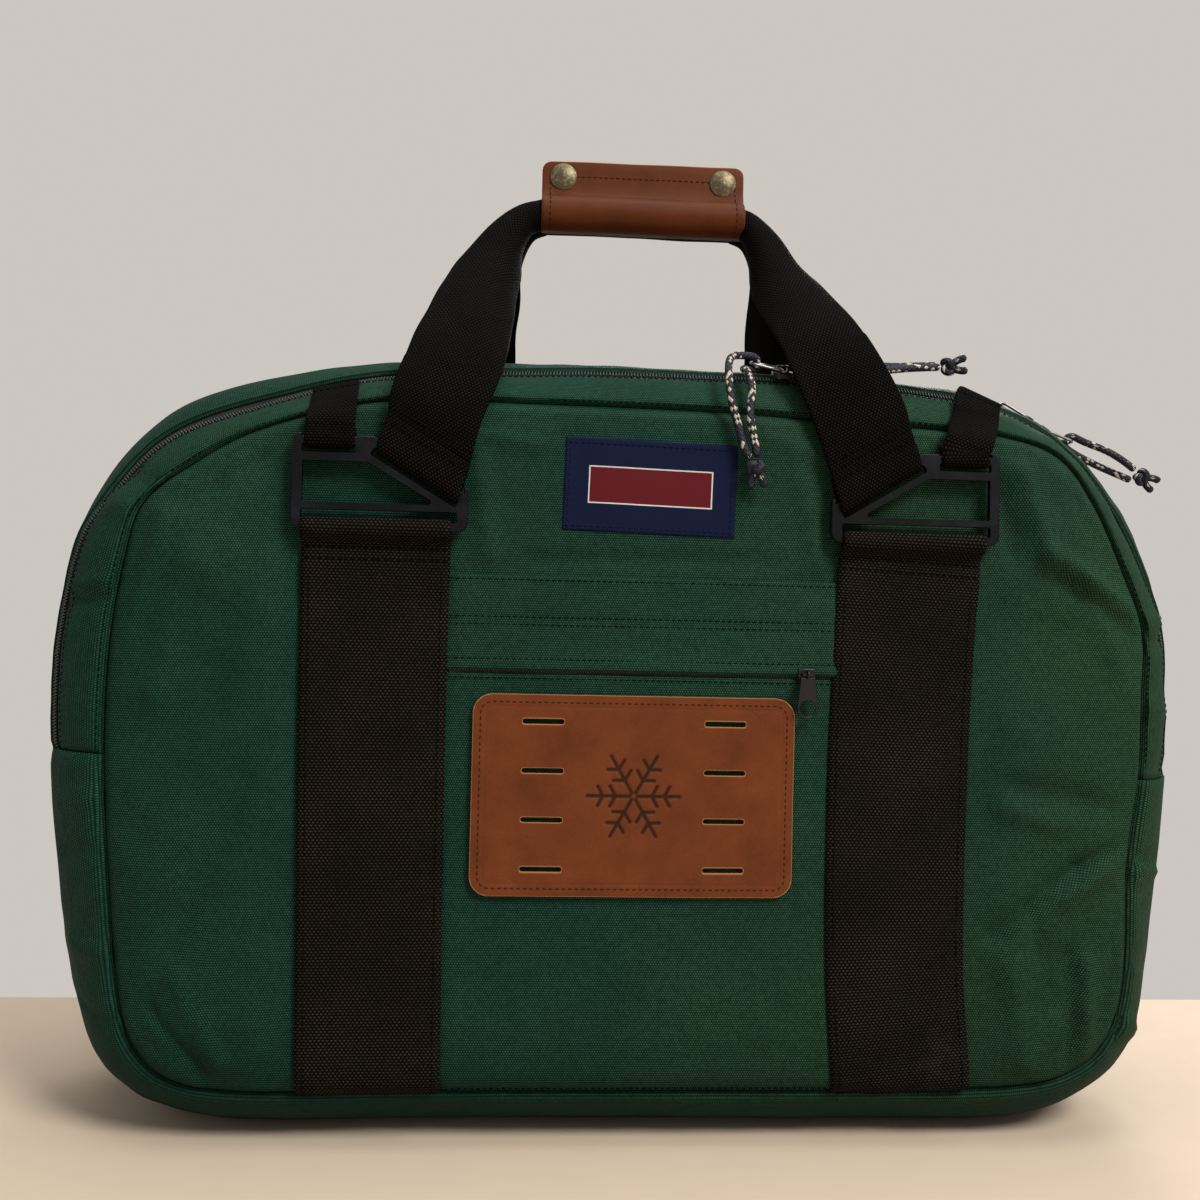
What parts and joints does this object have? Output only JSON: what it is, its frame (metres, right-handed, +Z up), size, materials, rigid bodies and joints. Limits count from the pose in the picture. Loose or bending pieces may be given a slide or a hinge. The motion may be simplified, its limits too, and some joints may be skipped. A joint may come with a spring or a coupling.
{
  "type": "soft carry holdall bag",
  "caption": "Soft sided two compartment zip holdall with arched top, webbing handles with a leather grip, slotted plastic links, front zip pocket, leather lash patch and cord zip pulls",
  "frame": {"origin": "centre of the flat base, on the surface the bag stands on", "axes": "+Z up, +X to the right as the front is seen, the pocket and patch face -Y"},
  "size_m": [0.6188, 0.2084, 0.547],
  "materials": {
    "green_packcloth": "coated nylon packcloth, fine weave with a slight sheen",
    "dark_webbing": "heavy nylon webbing, coarse ribbed weave",
    "link_plastic": "moulded acetal, slate grey, slightly worn",
    "saddle_leather": "vegetable tanned, burnished, raw tan edge",
    "woven_label": "damask woven, matte",
    "zipper": "nylon coil on polyester tape",
    "slider_metal": "black enamel, satin",
    "wire_steel": "bent wire, satin",
    "snap_brass": "aged, satin",
    "pull_cord": "braided accessory cord",
    "board_plastic": "extruded sheet",
    "lining_cloth": "light nylon taffeta"
  },
  "bodies": {
    "bag": {"bottom_board": "board_plastic", "bottom_gusset": "green_packcloth", "divider_panel": "lining_cloth", "front_panel": "green_packcloth", "front_top_strip": "green_packcloth", "front_zipper": "zipper", "handle_end_front_left": "dark_webbing", "handle_end_front_right": "dark_webbing", "handle_end_rear_left": "dark_webbing", "handle_end_rear_right": "dark_webbing", "leather_patch": "saddle_leather", "link_front_left": "link_plastic", "link_front_right": "link_plastic", "link_rear_left": "link_plastic", "link_rear_right": "link_plastic", "middle_top_strip": "green_packcloth", "pocket_front": "green_packcloth", "pocket_lining": "lining_cloth", "pocket_placket": "green_packcloth", "pocket_zipper": "zipper", "rear_panel": "green_packcloth", "rear_top_strip": "green_packcloth", "rear_zipper": "zipper", "tab_front_left": "dark_webbing", "tab_front_right": "dark_webbing", "tab_rear_left": "dark_webbing", "tab_rear_right": "dark_webbing", "wide_strap_front_left": "dark_webbing", "wide_strap_front_right": "dark_webbing", "wide_strap_rear_left": "dark_webbing", "wide_strap_rear_right": "dark_webbing", "woven_label": "woven_label"},
    "front_handle": {"front_handle": "dark_webbing", "grip_wrap": "saddle_leather", "snap_studs": "snap_brass"},
    "grip_flap": {"grip_flap": "saddle_leather", "snap_caps": "snap_brass"},
    "rear_handle": {"rear_handle": "dark_webbing"},
    "slider_a": {"zip_slider_a": "slider_metal"},
    "slider_b": {"zip_slider_b": "slider_metal"},
    "slider_c": {"zip_slider_c": "slider_metal"},
    "slider_d": {"zip_slider_d": "slider_metal"},
    "pull_a": {"wire_pull_a": "wire_steel", "pull_cord_a_upper": "pull_cord", "pull_cord_a_lower": "pull_cord", "cord_knot_a": "pull_cord"},
    "pull_b": {"wire_pull_b": "wire_steel", "pull_cord_b_upper": "pull_cord", "pull_cord_b_lower": "pull_cord", "cord_knot_b": "pull_cord"},
    "pull_c": {"wire_pull_c": "wire_steel", "pull_cord_c_upper": "pull_cord", "pull_cord_c_lower": "pull_cord", "cord_knot_c": "pull_cord"},
    "pull_d": {"wire_pull_d": "wire_steel"},
    "pocket_slider": {"pocket_slider": "slider_metal"},
    "pocket_tab": {"pocket_pull_tab": "slider_metal"}
  },
  "joints": [
    {"name": "front_handle_fold", "type": "hinge", "parent": "bag", "child": "front_handle", "pos_m": [0, -0.104, 0.352], "axis": [1, 0, 0], "range_deg": [0, 170]},
    {"name": "grip_flap_open", "type": "hinge", "parent": "front_handle", "child": "grip_flap", "pos_m": [0, -0.01215, 0.5045], "axis": [1, 0, 0], "range_deg": [0, 120]},
    {"name": "rear_handle_fold", "type": "hinge", "parent": "bag", "child": "rear_handle", "pos_m": [0, 0.104, 0.352], "axis": [1, 0, 0], "range_deg": [-170, 0]},
    {"name": "front_zip_a_slide", "type": "slide", "parent": "bag", "child": "slider_a", "axis": [1, 0, 0], "range_m": [-0.11, 0]},
    {"name": "front_zip_b_slide", "type": "slide", "parent": "bag", "child": "slider_b", "axis": [1, 0, 0], "range_m": [0, 0.06]},
    {"name": "rear_zip_c_turn", "type": "hinge", "parent": "bag", "child": "slider_c", "pos_m": [0.1552, -0.028, 0.264], "axis": [0, 1, 0], "range_deg": [0, 55]},
    {"name": "rear_zip_d_turn", "type": "hinge", "parent": "bag", "child": "slider_d", "pos_m": [0.1552, -0.028, 0.264], "axis": [0, 1, 0], "range_deg": [-28, 0]},
    {"name": "pull_a_lift", "type": "hinge", "parent": "slider_a", "child": "pull_a", "pos_m": [0.07339, -0.06759, 0.41573], "axis": [0, 0.9367, 0.35], "range_deg": [0, 15]},
    {"name": "pull_b_lift", "type": "hinge", "parent": "slider_b", "child": "pull_b", "pos_m": [0.08661, -0.06759, 0.41573], "axis": [0, 0.9367, 0.35], "range_deg": [-25, 0]},
    {"name": "pull_c_lift", "type": "hinge", "parent": "slider_c", "child": "pull_c", "pos_m": [0.24051, -0.028, 0.39281], "axis": [0, 1, 0], "range_deg": [-60, 0]},
    {"name": "pull_d_lift", "type": "hinge", "parent": "slider_d", "child": "pull_d", "pos_m": [0.22899, -0.028, 0.39994], "axis": [0, 1, 0], "range_deg": [0, 60]},
    {"name": "pocket_zip_slide", "type": "slide", "parent": "bag", "child": "pocket_slider", "axis": [1, 0, 0], "range_m": [-0.178, 0]},
    {"name": "pocket_tab_swing", "type": "hinge", "parent": "pocket_slider", "child": "pocket_tab", "pos_m": [0.084, -0.0997, 0.249], "axis": [1, 0, 0], "range_deg": [-150, 0]}
  ]
}
